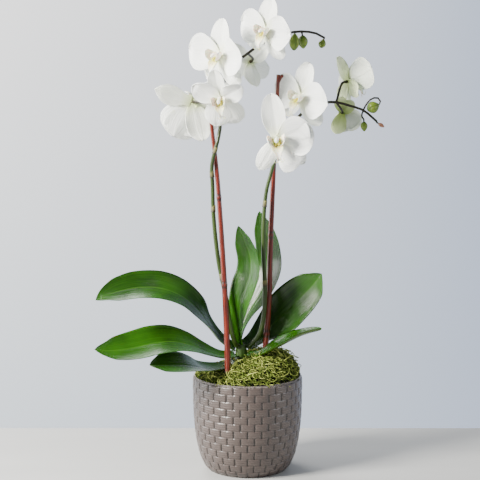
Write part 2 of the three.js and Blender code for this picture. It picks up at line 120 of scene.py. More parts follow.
def surface(name, **values):
    """A new material and its Principled shader, with the plain values set on it."""
    made = bpy.data.materials.new(name)
    made.use_nodes = True
    shader = made.node_tree.nodes["Principled BSDF"]
    for key, value in values.items():
        shader.inputs[key.replace("_", " ").title().replace("Ior", "IOR")].default_value = value
    return made, made.node_tree, shader


def speckle(tree, size_mm, detail=3.0, stretch=(1, 1, 1)):
    """A noise whose patches are about size_mm across, in the piece's own coordinates."""
    place = add(tree, "ShaderNodeTexCoord").outputs["Object"]
    scaled = add(tree, "ShaderNodeMapping", {"Vector": place, "Scale": stretch})
    return add(tree, "ShaderNodeTexNoise", {
        "Vector": scaled.outputs[0], "Scale": 1 / (size_mm * MM), "Detail": detail,
    }).outputs[0]


def paint(tree, shader, colour, height=None, depth_mm=0.0):
    """Gives the shader its colour, and a fine relief from a height between 0 and 1."""
    tree.links.new(colour, shader.inputs["Base Color"])
    if height is not None:
        depths = {"Height": height, "Distance": depth_mm * MM, "Strength": 1.0}
        bump = add(tree, "ShaderNodeBump", depths)
        tree.links.new(bump.outputs[0], shader.inputs["Normal"])


def own(tree, name):
    """Reads a number that was stored on the mesh."""
    return add(tree, "ShaderNodeAttribute", attribute_name=name).outputs["Fac"]


def level(tree):
    """How high a point is, in metres."""
    here = add(tree, "ShaderNodeTexCoord").outputs["Object"]
    return add(tree, "ShaderNodeSeparateXYZ", {0: here}).outputs[2]


def grain(tree, sideways, lines, waves, detail):
    """A noise drawn out along a piece, from the numbers stored on it."""
    drawn = add(tree, "ShaderNodeCombineXYZ", {
        0: calc(tree, "MULTIPLY", own(tree, sideways), lines),
        1: calc(tree, "MULTIPLY", own(tree, "along"), waves),
        2: own(tree, "number"),
    }).outputs[0]
    return add(tree, "ShaderNodeTexNoise", {"Vector": drawn, "Scale": 1.0, "Detail": detail}).outputs[0]


# %% [markdown]
# Every piece needs the same last steps: its place in its mesh, smooth shading, the body that it
# rides on, and hiding the plain solids that it stands for.


# %% Mesh helpers
def stand(name, data):
    """Puts a new object with this data in the scene."""
    made = bpy.data.objects.new(name, data)
    bpy.context.scene.collection.objects.link(made)
    return made


def new_object(name, points, faces, materials, numbers=None):
    """A mesh object from points and faces, with named numbers stored at its points."""
    mesh = bpy.data.meshes.new(name)
    mesh.from_pydata([tuple(p) for p in points], [], faces)
    for key, values in (numbers or {}).items():
        mesh.attributes.new(key, "FLOAT", "POINT").data.foreach_set("value", values)
    for one in materials:
        mesh.materials.append(one)
    mesh.shade_smooth()
    return stand(name, mesh)


def settle(piece):
    """Turns a piece and its live modifiers into one plain mesh."""
    evaluated = piece.evaluated_get(bpy.context.evaluated_depsgraph_get())
    mesh = bpy.data.meshes.new_from_object(evaluated)
    piece.modifiers.clear()
    piece.data = mesh
    return piece


def place(piece, slot, *nodes):
    """Hands a finished piece to the frame."""
    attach(piece, "root")
    if nodes:
        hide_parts(*nodes)
    volume = sum(f.center.dot(f.normal) * f.area for f in piece.data.polygons) / 3
    print(piece.name, len(piece.data.polygons), "faces,", round(volume * 1e6, 2), "ml")


def outward(piece):
    """Turns every face of a closed piece to look out."""
    shape = bmesh.new()
    shape.from_mesh(piece.data)
    bmesh.ops.remove_doubles(shape, verts=shape.verts, dist=1e-6)
    bmesh.ops.recalc_face_normals(shape, faces=shape.faces)
    if shape.calc_volume(signed=True) < 0:
        bmesh.ops.reverse_faces(shape, faces=shape.faces)
    shape.to_mesh(piece.data)
    shape.free()


# %% [markdown]
# The plain solids arrive as loose triangles. A merged copy can be read: the solids are
# lofts, so each has two poles, and walking outwards from one pole finds ring after ring.


# %% Read a loft back from a node
def merged(name):
    """A merged bmesh copy of a node; the node itself stays as it is."""
    shape = bmesh.new()
    shape.from_mesh(NODES[name].data)
    bmesh.ops.remove_doubles(shape, verts=shape.verts, dist=2e-6)
    shape.verts.ensure_lookup_table()
    return shape


def neighbours(vert):
    return [edge.other_vert(vert) for edge in vert.link_edges]


def poles_of(shape):
    """The two points where most edges meet."""
    return sorted(shape.verts, key=lambda v: -len(v.link_edges))[:2]


def rings_of(shape):
    """The rings between a loft's two poles, each in order round the loft."""
    start, end = poles_of(shape)
    seen = {start, end}
    layer = [start]
    rings = []
    while True:
        layer = [v for v in {n for one in layer for n in neighbours(one)} if v not in seen]
        if not layer:
            return start.co.copy(), rings, end.co.copy()
        seen.update(layer)
        left, ring = set(layer), [min(layer, key=lambda v: v.index)]
        left.discard(ring[0])
        while left:
            near = [n for n in neighbours(ring[-1]) if n in left]
            if not near:
                break
            ring.append(min(near, key=lambda v: (v.co - ring[-1].co).length))
            left.discard(ring[-1])
        rings.append([v.co.copy() for v in ring])


def middle(points):
    return sum(points, Vector()) / len(points)


def along_curve(points, share):
    """A point on the smooth curve through points, at a share of the way along."""
    at = min(max(share, 0.0), 1.0) * (len(points) - 1)
    i = min(int(at), len(points) - 2)
    t = at - i
    b, c = points[i], points[i + 1]
    a = points[i - 1] if i else b + b - c
    d = points[i + 2] if i + 2 < len(points) else c + c - b
    return 0.5 * (2 * b + (c - a) * t + (2 * a - 5 * b + 4 * c - d) * t * t
                  + (3 * b - a - 3 * c + d) * t * t * t)


def smoothstep(value, low=0.0, high=1.0):
    t = min(max((value - low) / (high - low), 0.0), 1.0)
    return t * t * (3 - 2 * t)


# %% [markdown]
# A tube is the shape of stalks, canes and strands. Its rings are carried along the route
# without twisting, and the numbers stored on it say how far along and round a point is.


# %% Tubes along a route
def tube(points, radius_at, steps, sides, squash=1.0):
    """Points, faces and stored numbers of a closed tube; radius_at takes share and angle."""
    route = [along_curve(points, i / steps) for i in range(steps + 1)]
    ahead = (route[1] - route[0]).normalized()
    side = ahead.orthogonal().normalized()
    made, faces, along, around = [], [], [], []
    for i, centre in enumerate(route):
        ahead = (route[min(i + 1, steps)] - route[max(i - 1, 0)]).normalized()
        side = (side - ahead * side.dot(ahead)).normalized()
        up = ahead.cross(side)
        for k in range(sides):
            angle = 2 * math.pi * k / sides
            radius = radius_at(i / steps, angle)
            made.append(centre + radius * (math.cos(angle) * side + squash * math.sin(angle) * up))
            along.append(i / steps)
            around.append(k / sides)
    for i in range(steps):
        for k in range(sides):
            a, b = i * sides + k, i * sides + (k + 1) % sides
            faces.append((a, b, b + sides, a + sides))
    made += [route[0], route[-1]]
    along += [0.0, 1.0]
    around += [0.0, 0.0]
    first, last = len(made) - 2, len(made) - 1
    for k in range(sides):
        faces.append((first, (k + 1) % sides, k))
        faces.append((last, steps * sides + k, steps * sides + (k + 1) % sides))
    return made, faces, {"along": along, "around": around}


def gather(*shapes):
    """Joins several (points, faces, numbers) into one."""
    points, faces, numbers = [], [], {}
    keys = {key for shape in shapes for key in shape[2]}
    for shape_points, shape_faces, shape_numbers in shapes:
        start = len(points)
        points += shape_points
        faces += [tuple(i + start for i in face) for face in shape_faces]
        for key in keys:
            numbers.setdefault(key, []).extend(
                shape_numbers.get(key, [0.0] * len(shape_points)))
    return points, faces, numbers


# %% [markdown]
# ## The pot
# A cachepot of stoneware under a matte-satin taupe glaze. Its wall is pressed with a flat
# basket weave: bricks two columns wide, each row set over by one column. A lathe gives the
# wall, and a Geometry Nodes tree sinks the joints, from each point's own place on it, so
# the bricks follow the belly and their number and depth stay named inputs.

# %% The pot's wall
POT_LOW, POT_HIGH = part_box("pot")
POT_TURNS = 576
WEAVE_ROWS = 13
WEAVE_COLUMNS = 48
WEAVE_DEPTH = 1.5 * MM
WEAVE_TOP = 0.982                 # share of the height where the plain rim band starts
WEAVE_JOINT = 0.07                # a joint's share of a brick's length, on either side
ROW_STEPS = 8                     # mesh rows in one row of the weave
PLAIN = -1.0                      # the stored rise of a ring that has no weave
FOOT_ROUNDING = 3 * MM
WALL_LEAST = 3 * MM               # points nearer than this to the widest are outside ones


def pot_profile():
    """The wall's outside and inside as (height, radius) lists, read from the node."""
    shape = merged("pot")
    meridian = [(v.co.z, v.co.x) for v in shape.verts if abs(v.co.y) < 1e-6 and v.co.x > 1e-4]
    shape.free()
    outer, inner = [], []
    for z, r in sorted(meridian):
        widest = max(x for height, x in meridian if abs(height - z) < 1 * MM)
        (outer if widest - r < WALL_LEAST else inner).append((z, r))
    return outer, inner


def radius_from(profile, z):
    """The radius at a height, on a smooth curve through the profile."""
    heights = [point[0] for point in profile]
    last = len(profile) - 1
    i = max(1, next((k for k, height in enumerate(heights) if height >= z), last))
    share = (z - heights[i - 1]) / max(heights[i] - heights[i - 1], 1e-9)
    rows = [Vector((r, 0, 0)) for _, r in profile]
    return along_curve(rows, (i - 1 + min(max(share, 0), 1)) / last).x


OUTER, INNER = pot_profile()
WALL_TOP = OUTER[-2][0]
weave_steps = WEAVE_ROWS * ROW_STEPS
profile = [(POT_LOW.z, OUTER[0][1] - FOOT_ROUNDING, PLAIN)]
for i in range(weave_steps + 1):
    share = i / weave_steps
    z = POT_LOW.z + share * WEAVE_TOP * POT_HIGH.z
    profile.append((z, radius_from(OUTER, z), share))
for z, r in ((WALL_TOP, OUTER[-2][1]), (OUTER[-1][0], OUTER[-1][1]), (INNER[-1][0], INNER[-1][1])):
    profile.append((z, r, PLAIN))
profile += [(z, r, PLAIN) for z, r in reversed(INNER[:-1])]
points, faces, rise, turn = [], [], [], []
for z, r, share in profile:
    for k in range(POT_TURNS):
        angle = 2 * math.pi * k / POT_TURNS
        points.append(Vector((r * math.cos(angle), r * math.sin(angle), z)))
        rise.append(share)
        turn.append(k / POT_TURNS)
for i in range(len(profile) - 1):
    for k in range(POT_TURNS):
        a, b = i * POT_TURNS + k, i * POT_TURNS + (k + 1) % POT_TURNS
        faces.append((a, b, b + POT_TURNS, a + POT_TURNS))
for ring, z in ((0, POT_LOW.z), (len(profile) - 1, profile[-1][0])):
    points.append(Vector((0, 0, z)))
    rise.append(PLAIN)
    turn.append(0.0)
    for k in range(POT_TURNS):
        a, b = ring * POT_TURNS + k, ring * POT_TURNS + (k + 1) % POT_TURNS
        faces.append((len(points) - 1, a, b) if ring else (len(points) - 1, b, a))
print("pot wall of", len(faces), "faces, rim radius", round(OUTER[-2][1] / MM, 1), "mm")

# %% [markdown]
# The glaze breaks lighter on the raised strands and pools darker in the joints, so the
# weave's height is stored on the mesh and the colour reads it.

# %% Glazed stoneware
REEDS_PER_ROW = 3                 # fine reeds in one strip of the weave
RIM_HIGHLIGHT_BAND = 2.2 * MM, 1.2 * MM     # below the rim, where the painted highlight on the pale edge starts and is full
stoneware, tree, shader = surface("glazed_stoneware", roughness=0.36, ior=1.5,
                                  coat_weight=0.2, coat_roughness=0.28)
clay = blended(tree, speckle(tree, 22), "#443a36", "#574b46")
glaze = blended(tree, spread(tree, own(tree, "weave"), 0.0, 0.7), "#2f2723", clay)
glaze = blended(tree, own(tree, "joint"), glaze, "#1b1613")
# The pale band at the very top is a painted highlight, where the rim's edge would catch the light.
rim_highlight = spread(tree, level(tree), *(POT_HIGH.z - below for below in RIM_HIGHLIGHT_BAND))
glaze = blended(tree, rim_highlight, glaze, "#857b74")
reeds = calc(tree, "MULTIPLY", own(tree, "rise"), WEAVE_ROWS * REEDS_PER_ROW * math.pi)
reeds = calc(tree, "ABSOLUTE", calc(tree, "SINE", reeds))
rough = calc(tree, "MULTIPLY", speckle(tree, 1.6, 4), 0.6)
paint(tree, shader, glaze, calc(tree, "ADD", reeds, rough), 0.28)


# %% The weave as a Geometry Nodes tree
BRICK_BLUNTNESS = 0.22            # lower makes a brick's ends squarer
STRIP_SQUARENESS = 7.0            # higher keeps a strip flat for longer towards its edges
STRIP_DIP = 0.5                   # how deep a strip's edges are, as a share of the depth


def new_tree(name, floats, whole=()):
    """An empty Geometry Nodes tree with named inputs, and the outputs that give them."""
    tree = bpy.data.node_groups.new(name, "GeometryNodeTree")
    face = tree.interface
    face.new_socket("Geometry", in_out="OUTPUT", socket_type="NodeSocketGeometry")
    face.new_socket("Geometry", in_out="INPUT", socket_type="NodeSocketGeometry")
    for kind, keys in (("NodeSocketFloat", floats), ("NodeSocketInt", whole)):
        for key in keys:
            face.new_socket(key, in_out="INPUT", socket_type=kind)
    return tree, add(tree, "NodeGroupInput").outputs


def give_back(tree, geometry, material):
    """Ends a tree: instances become real, and the material is set."""
    real = add(tree, "GeometryNodeRealizeInstances", {"Geometry": geometry}).outputs[0]
    done = add(tree, "GeometryNodeSetMaterial", {"Geometry": real, "Material": material})
    add(tree, "NodeGroupOutput", {0: done.outputs[0]})
    return tree


def weave_tree(material):
    """Sinks each wall point level towards the pot's axis where the weave is low."""
    tree, given = new_tree("basket_weave", ("Rows", "Columns", "Depth", "Joint"))

    def number(operation, *values):
        return calc(tree, operation, *values)

    def read(name):
        return add(tree, "GeometryNodeInputNamedAttribute", {"Name": name},
                   data_type="FLOAT").outputs[0]

    row = number("MULTIPLY", read("rise"), given["Rows"])
    odd = number("MODULO", number("FLOOR", row), 2.0)
    bricks = number("MULTIPLY", read("turn"), number("MULTIPLY", given["Columns"], 0.5))
    brick = number("FRACT", number("MULTIPLY_ADD", odd, 0.5, bricks))
    arch = number("SINE", number("MULTIPLY", brick, math.pi))
    arch = number("POWER", number("MAXIMUM", arch, 0.0), BRICK_BLUNTNESS)
    across = number("MULTIPLY_ADD", number("FRACT", row), 2.0, -1.0)
    groove = number("POWER", number("ABSOLUTE", across), STRIP_SQUARENESS)
    crown = number("SUBTRACT", 1.0, number("MULTIPLY", groove, STRIP_DIP))
    on_wall = number("GREATER_THAN", read("rise"), PLAIN / 2)
    edge = number("MINIMUM", brick, number("SUBTRACT", 1.0, brick))
    open_joint = number("MINIMUM", number("DIVIDE", edge, given["Joint"]), 1.0)
    height = number("MULTIPLY", number("MULTIPLY", arch, crown), open_joint)
    plain = number("SUBTRACT", 1.0, on_wall)
    stored = number("MULTIPLY_ADD", height, on_wall, plain)
    sunk = number("MULTIPLY", number("SUBTRACT", height, 1.0), on_wall)
    lift = number("MULTIPLY", sunk, given["Depth"])
    dark = number("MULTIPLY", number("SUBTRACT", 1.0, open_joint), on_wall)
    kept = given["Geometry"]
    for name, value in (("weave", stored), ("joint", dark)):
        kept = add(tree, "GeometryNodeStoreNamedAttribute", {
            "Geometry": kept, "Name": name, "Value": value,
        }, data_type="FLOAT", domain="POINT").outputs[0]
    sideways = add(tree, "ShaderNodeVectorMath", {
        0: add(tree, "GeometryNodeInputPosition").outputs[0], 1: (1.0, 1.0, 0.0),
    }, operation="MULTIPLY").outputs[0]
    away = add(tree, "ShaderNodeVectorMath", {0: sideways}, operation="NORMALIZE").outputs[0]
    push = add(tree, "ShaderNodeVectorMath", {0: away, "Scale": lift}, operation="SCALE")
    moved = add(tree, "GeometryNodeSetPosition", {"Geometry": kept, "Offset": push.outputs[0]})
    return give_back(tree, moved.outputs[0], material)


def grow(piece, tree, **inputs):
    """Gives a piece a Geometry Nodes modifier, sets its named inputs, and settles it."""
    modifier = piece.modifiers.new(tree.name, "NODES")
    modifier.node_group = tree
    sockets = {one.name: one.identifier
               for one in tree.interface.items_tree if one.in_out == "INPUT"}
    for name, value in inputs.items():
        modifier[sockets[name.replace("_", " ")]] = value
    return settle(piece)


pot = new_object("pot_woven", points, faces, [stoneware], {"rise": rise, "turn": turn})
outward(pot)
grow(pot, weave_tree(stoneware), Rows=float(WEAVE_ROWS), Columns=float(WEAVE_COLUMNS),
     Depth=WEAVE_DEPTH, Joint=WEAVE_JOINT)
place(pot, "pot_glaze", "pot")

# %% [markdown]
# ## Liner and bark
# The thin nursery liner and the bark mix sit inside the pot. Both plain solids already
# have their true shape, so they stay and only get their finishes.

# %% Liner and bark finishes
liner_plastic, tree, shader = surface("moulded_black_polypropylene", roughness=0.42, ior=1.49)
shade = blended(tree, speckle(tree, 9), "#1b1c1f", "#2a2c30")
paint(tree, shader, shade, speckle(tree, 0.8), 0.05)

BARK_CHIP = 9 * MM
bark_chips, tree, shader = surface("pine_bark_chips", roughness=0.95)
chips = add(tree, "ShaderNodeTexVoronoi", {
    "Vector": add(tree, "ShaderNodeTexCoord").outputs["Object"], "Scale": 1 / BARK_CHIP,
}).outputs["Distance"]
paint(tree, shader, blended(tree, chips, "#6b432a", "#2c1a10"), chips, 2.0)


def refinish(node, material):
    """Puts a material on a plain solid that stays."""
    slots = NODES[node].data.materials
    slots.clear()
    slots.append(material)


refinish("nursery_liner", liner_plastic)
refinish("bark_mix", bark_chips)
print("liner and bark finished")

# %% [markdown]
# ## Sheet moss
# Dry sheet moss is a mat of fine curly strands, some green and some straw-coloured. The
# mat is the plain mound, roughened. The strands are one short coil, scattered over the mat
# by Geometry Nodes: one tree with named inputs makes the green, straw and loose ones.


# %% Moss finishes
def moss_finish(name, dark, light):
    """Dry moss of two tones; each strand has its own mix."""
    made, tree, shader = surface(name, roughness=0.9, specular_ior_level=0.2)
    paint(tree, shader, blended(tree, own(tree, "tone"), dark, light), speckle(tree, 0.7), 0.15)
    return made


# The mat is moss darkened nearly to black: painted shade, for the deep gaps between the strands.
shaded_moss_mat = moss_finish("shaded_moss_mat", "#080a03", "#151a0a")
moss_green = moss_finish("moss_green_strands", "#152103", "#6c7e2b")
moss_straw = moss_finish("moss_straw_strands", "#4d5a1c", "#a7ae58")

# %% The mat
mat_shape = merged("moss_top")
bmesh.ops.subdivide_edges(mat_shape, edges=mat_shape.edges, cuts=2, use_grid_fill=True)
MAT_SHAVE = 1.6 * MM              # room for the strands above the mat
MAT_BUMP = 1.6 * MM
MAT_SIDE = 8 * MM                 # the mat's lowest part, against the pot, stays as it is
LUMP, KNOT, PATCH = 7 * MM, 3 * MM, 5 * MM
mat_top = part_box("moss_top")[0].z + MAT_SIDE
for vert in mat_shape.verts:
    if vert.co.z > mat_top:
        bumpy = noise.noise(vert.co / LUMP) + 0.5 * noise.noise(vert.co / KNOT)
        vert.co.z += MAT_BUMP * bumpy - MAT_SHAVE
mat_mesh = bpy.data.meshes.new("shaded_moss_mat")
mat_shape.to_mesh(mat_mesh)
mat_shape.free()
tones = [0.5 + 0.5 * noise.noise(v.co / PATCH) for v in mat_mesh.vertices]
mat_mesh.attributes.new("tone", "FLOAT", "POINT").data.foreach_set("value", tones)
mat_mesh.materials.append(shaded_moss_mat)
mat_mesh.shade_smooth()
place(stand("moss_bed", mat_mesh), "moss", "moss_top")


# %% The strands
LEAST_UP = 0.15                   # how far up a face has to look to carry strands
PATCH_EDGE = 0.12                 # how softly a patch of strands thins out
LEAN = 0.7                        # radians that a coil may lean by
CURL_TURNS, CURL_END, STRAND_STEPS, STRAND_SIDES = 0.85, 0.45, 9, 3
SMALLEST, LARGEST = 0.6, 1.5
TONE_SEED = 7


def strand_tree(name, material):
    """Scatters one curly strand over the upward faces of a mesh."""
    sizes = ("Density", "Strand radius", "Curl radius", "Patch size", "Patch share")
    tree, given = new_tree(name, sizes, ("Seed",))
    normal = add(tree, "GeometryNodeInputNormal").outputs[0]
    up = add(tree, "ShaderNodeSeparateXYZ", {0: normal}).outputs[2]
    upward = add(tree, "FunctionNodeCompare", {0: up, 1: LEAST_UP},
                 operation="GREATER_THAN").outputs[0]
    patch = add(tree, "ShaderNodeTexNoise", {
        "Scale": calc(tree, "DIVIDE", 1.0, given["Patch size"]),
    }).outputs[0]
    full = calc(tree, "ADD", given["Patch share"], PATCH_EDGE)
    thick = calc(tree, "MULTIPLY", spread(tree, patch, given["Patch share"], full), given["Density"])
    spots = add(tree, "GeometryNodeDistributePointsOnFaces", {
        "Mesh": given["Geometry"], "Selection": upward, "Density": thick, "Seed": given["Seed"],
    }, distribute_method="RANDOM")
    coil = add(tree, "GeometryNodeCurveSpiral", {
        "Resolution": STRAND_STEPS, "Rotations": CURL_TURNS, "Height": given["Curl radius"],
        "Start Radius": given["Curl radius"],
        "End Radius": calc(tree, "MULTIPLY", given["Curl radius"], CURL_END),
    })
    section = add(tree, "GeometryNodeCurvePrimitiveCircle", {
        "Resolution": STRAND_SIDES, "Radius": given["Strand radius"],
    })
    strand = add(tree, "GeometryNodeCurveToMesh", {
        "Curve": coil.outputs[0], "Profile Curve": section.outputs[0], "Fill Caps": True,
    })
    turned = add(tree, "FunctionNodeRandomValue", {
        0: (-LEAN, -LEAN, 0.0), 1: (LEAN, LEAN, 6.283), "Seed": given["Seed"],
    }, data_type="FLOAT_VECTOR").outputs[0]
    sized = add(tree, "FunctionNodeRandomValue", {
        2: SMALLEST, 3: LARGEST, "Seed": given["Seed"],
    }, data_type="FLOAT").outputs[1]
    strands = add(tree, "GeometryNodeInstanceOnPoints", {
        "Points": spots.outputs[0], "Instance": strand.outputs[0],
        "Rotation": turned, "Scale": sized,
    })
    tone = add(tree, "FunctionNodeRandomValue", {2: 0.0, 3: 1.0, "Seed": TONE_SEED},
               data_type="FLOAT").outputs[1]
    toned = add(tree, "GeometryNodeStoreNamedAttribute", {
        "Geometry": strands.outputs[0], "Name": "tone", "Value": tone,
    }, data_type="FLOAT", domain="INSTANCE")
    return give_back(tree, toned.outputs[0], material)


def strands(name, material, **inputs):
    """A coat of strands over the moss mat."""
    place(grow(stand(name, mat_mesh.copy()), strand_tree(name, material), **inputs), "moss")


strands("moss_strands_green", moss_green, Density=120000.0, Strand_radius=0.5 * MM,
        Curl_radius=3.4 * MM, Patch_size=0.03, Patch_share=0.1, Seed=3)
strands("moss_strands_straw", moss_straw, Density=62000.0, Strand_radius=0.45 * MM,
        Curl_radius=3.8 * MM, Patch_size=0.022, Patch_share=0.36, Seed=11)
strands("moss_strands_loose", moss_straw, Density=14000.0, Strand_radius=0.4 * MM,
        Curl_radius=7.0 * MM, Patch_size=0.03, Patch_share=0.1, Seed=29)

# %% [markdown]
# ## Canes
# Split bamboo, dyed red-brown and lacquered, holds each spike up. A cane has a raised ring
# at each joint and fine streaks along it. The tubes follow the plain canes' centre lines.

# %% Lacquered bamboo
bamboo, tree, shader = surface("red_brown_lacquered_bamboo", roughness=0.33,
                               coat_weight=0.15, coat_roughness=0.2)
streak = grain(tree, "around", 26.0, 14.0, 4.0)
lacquer = blended(tree, spread(tree, streak, 0.35, 0.65), "#3a0b02", "#77230e")
paint(tree, shader, blended(tree, own(tree, "joint"), lacquer, "#190704"), streak, 0.15)

# %% Cane shapes
CANE_JOINTS = {"stake_left": (0.46, 0.735), "stake_right": (0.26, 0.545, 0.86)}
JOINT_SHARE = 0.009               # half a joint ring's share of the cane's length
LACQUER, RING = 1.12, 0.17        # how much the lacquer and a joint ring widen a cane
CANE_STEPS, CANE_SIDES = 420, 20
CUT_SHOOTS = {"stake_right": ((0, 0, -9), (2.2, 0, -5), (5.5, 0, -0.5))}   # mm from the top
SHOOT_FOOT, SHOOT_TAPER = 2.3 * MM, 0.5 * MM


def shoot_radius(share, _angle):
    return SHOOT_FOOT - SHOOT_TAPER * share


for name, joints in CANE_JOINTS.items():
    shape = merged(name)
    start, rings, end = rings_of(shape)
    shape.free()
    if start.z > end.z:
        rings.reverse()
    centres = [middle(ring) for ring in rings]
    radii = [Vector(((ring[0] - centre).length, 0, 0)) for ring, centre in zip(rings, centres)]

    def ring_at(share):
        return max((1 - abs(share - joint) / JOINT_SHARE for joint in joints), default=0)

    def cane_radius(share, _angle):
        return along_curve(radii, share).x * (LACQUER + RING * max(0.0, ring_at(share)))

    points, faces, numbers = tube(centres, cane_radius, CANE_STEPS, CANE_SIDES)
    numbers["joint"] = [0.9 * max(0.0, 1 - abs(ring_at(share) - 0.15) * 1.2)
                        for share in numbers["along"]]
    if name in CUT_SHOOTS:
        bend = [centres[-1] + Vector(offset) * MM for offset in CUT_SHOOTS[name]]
        points, faces, numbers = gather((points, faces, numbers), tube(bend, shoot_radius, 12, 12))
    cane = new_object(name + "_bamboo", points, faces, [bamboo], numbers)
    outward(cane)
    place(cane, "cane", name)

# %% [markdown]
# ## Leaves
# A moth orchid's leaf is a thick, glossy strap with a groove along its middle. Each plain
# leaf gives ten stations with two margins, a groove and a keel. A smooth blade is drawn
# through them, thin at the margins and thick at the keel, and a little uneven, because no
# leaf is straight. The upper and lower skins are told apart by a stored number.

# %% Leaf finish
MIDRIB = 0.06                     # the pale midrib's half width, as a share of the leaf's
leaf_skin, tree, shader = surface(
    "glossy_leaf_skin", roughness=0.25, ior=1.45, specular_ior_level=0.34, coat_weight=0.1,
    coat_roughness=0.12, subsurface_weight=0.06, subsurface_scale=0.002)
vein = grain(tree, "across", 22.0, 2.5, 3.0)
green = blended(tree, spread(tree, speckle(tree, 45, 2), 0.35, 0.65), "#0f2a02", "#214c03")
vein_share = calc(tree, "MULTIPLY", spread(tree, vein, 0.4, 0.7), 0.4)
green = blended(tree, vein_share, green, "#2f5c0a")
off_centre = spread(tree, calc(tree, "ABSOLUTE", own(tree, "across")), 0.0, MIDRIB)
midrib_share = calc(tree, "MULTIPLY", calc(tree, "SUBTRACT", 1.0, off_centre), 0.3)
green = blended(tree, midrib_share, green, "#44701c")
green = blended(tree, own(tree, "under"), green, blended(tree, vein, "#35500f", "#526a1f"))
paint(tree, shader, green, vein, 0.35)


# %% Leaf shapes
def leaf_stations(name):
    """Left margin, groove, right margin and keel at each station, from foot to tip."""
    shape = merged(name)
    start, rings, end = rings_of(shape)
    shape.free()
    if (middle(rings[0]) - start).length > (middle(rings[-1]) - end).length:
        rings.reverse()
        start, end = end, start
    stations = []
    for ring in rings:
        count = len(ring)
        quarter = count // 4

        def width_from(i):
            return (ring[i] - ring[(i + 2 * quarter) % count]).length

        first = max(range(count), key=width_from)
        left, one, right, other = (ring[(first + i * quarter) % count] for i in range(4))
        chord = (left + right) / 2
        groove, keel = sorted((one, other), key=lambda p: (p - chord).length)
        if stations and (left - stations[-1][0]).length > (right - stations[-1][0]).length:
            left, right = right, left
        stations.append((left, groove, right, keel))
    return stations, end


BLADE_STEPS, BLADE_ACROSS = 72, 20
STATION_SHARES = (0, 0.1, 0.22, 0.35, 0.48, 0.61, 0.74, 0.85, 0.93, 0.98, 1.0)
TIP_SHARE = 0.13                  # the part of a leaf that runs to its pointed tip
SKIN = 0.5 * MM                   # a leaf's thickness at its margins
CREASE = 0.5 * MM                 # how deep the fold along its middle is
CREASE_HALF = 0.05                # the fold's half width, as a share of the leaf's
RIPPLE, RIPPLE_NARROW = 1.4 * MM, 12 * MM      # how much a margin waves, less where narrow
NEARLY_FLAT = 1e-6


def station_at(share):
    """Where a share of the length lies between the stations, as a share of their count."""
    for i in range(len(STATION_SHARES) - 1):
        low, high = STATION_SHARES[i], STATION_SHARES[i + 1]
        if share <= high:
            return (i + (share - low) / (high - low)) / (len(STATION_SHARES) - 1)
    return 1.0


def leaf(number):
    name = f"leaf_{number}"
    stations, tip = leaf_stations(name)
    stations.append((tip, tip, tip, tip))
    lines = [[station[i] for station in stations] for i in range(4)]
    points, faces = [], []
    numbers = {"across": [], "along": [], "under": [], "number": []}
    count = 2 * BLADE_ACROSS
    for i in range(BLADE_STEPS + 1):
        share = math.sin(math.pi / 2 * i / BLADE_STEPS) ** 1.1
        at = station_at(share)
        left, groove, right, keel = (along_curve(line, at) for line in lines)
        point_share = min(1.0, (1 - share) / TIP_SHARE) ** 0.35
        half = (right - left).length / 2 * point_share
        side = (right - left).normalized() if half > NEARLY_FLAT else Vector((1, 0, 0))
        centre = (left + right) / 2
        depth = groove - centre
        lift = -depth.normalized() if depth.length > NEARLY_FLAT else Vector((0, 0, 1))
        thickness = (keel - groove).length
        wave = noise.noise(Vector((share * 3.1, number * 7.3, 0.5)))
        ends = smoothstep(share, 0.02, 0.15) * smoothstep(1 - share, 0, 0.1)
        for k in range(count):
            under = k > BLADE_ACROSS
            x = 2 * (k - BLADE_ACROSS) / BLADE_ACROSS - 1 if under else 1 - 2 * k / BLADE_ACROSS
            crease = CREASE * math.exp(-(x / CREASE_HALF) ** 2) * ends
            ripple = RIPPLE * wave * math.copysign(abs(x) ** 3, x) * smoothstep(half, 0, RIPPLE_NARROW)
            point = centre - side * (half * x) + depth * (1 - x * x) ** 0.85
            point += lift * (ripple - crease)
            if under:
                point -= lift * ((1 - abs(x) ** 2.5) * thickness + SKIN * (1 - abs(x) ** 8))
            points.append(point)
            numbers["across"].append(x)
            numbers["along"].append(share)
            numbers["under"].append(1.0 if under else 0.0)
            numbers["number"].append(float(number))
    for i in range(BLADE_STEPS):
        for k in range(count):
            a, b = i * count + k, i * count + (k + 1) % count
            faces.append((a, b, b + count, a + count))
    points.append(middle(points[:count]))
    for key, value in (("across", 0.0), ("along", 0.0), ("under", 0.0), ("number", float(number))):
        numbers[key].append(value)
    faces += [(len(points) - 1, (k + 1) % count, k) for k in range(count)]
    blade = new_object(name + "_blade", points, faces, [leaf_skin], numbers)
    outward(blade)
    place(blade, "leaf", name)


for number in range(1, 8):
    leaf(number)

# %% [markdown]
# ## Crown and flower spikes
# The spikes branch into flower stalks, and the plain solids already hold those joints. A
# merged copy is remeshed into even small faces and smoothed, which rounds the facets and
# webs each fork as on a living stem. The lower stem is green, and it turns dark wine-brown
# towards the thin tip, so the colour follows the height.

# %% Spike finish
spike_skin, tree, shader = surface("orchid_stem_skin", roughness=0.36, ior=1.45)
stem_green = blended(tree, speckle(tree, 6, 4, (1, 1, 0.25)), "#1a280a", "#3c4f1c")
stem_dark = blended(tree, speckle(tree, 5), "#14130b", "#332d1a")
tint = blended(tree, spread(tree, level(tree), 0.40, 0.46), stem_green, stem_dark)
paint(tree, shader, tint, speckle(tree, 1.2, 3, (1, 1, 0.3)), 0.2)


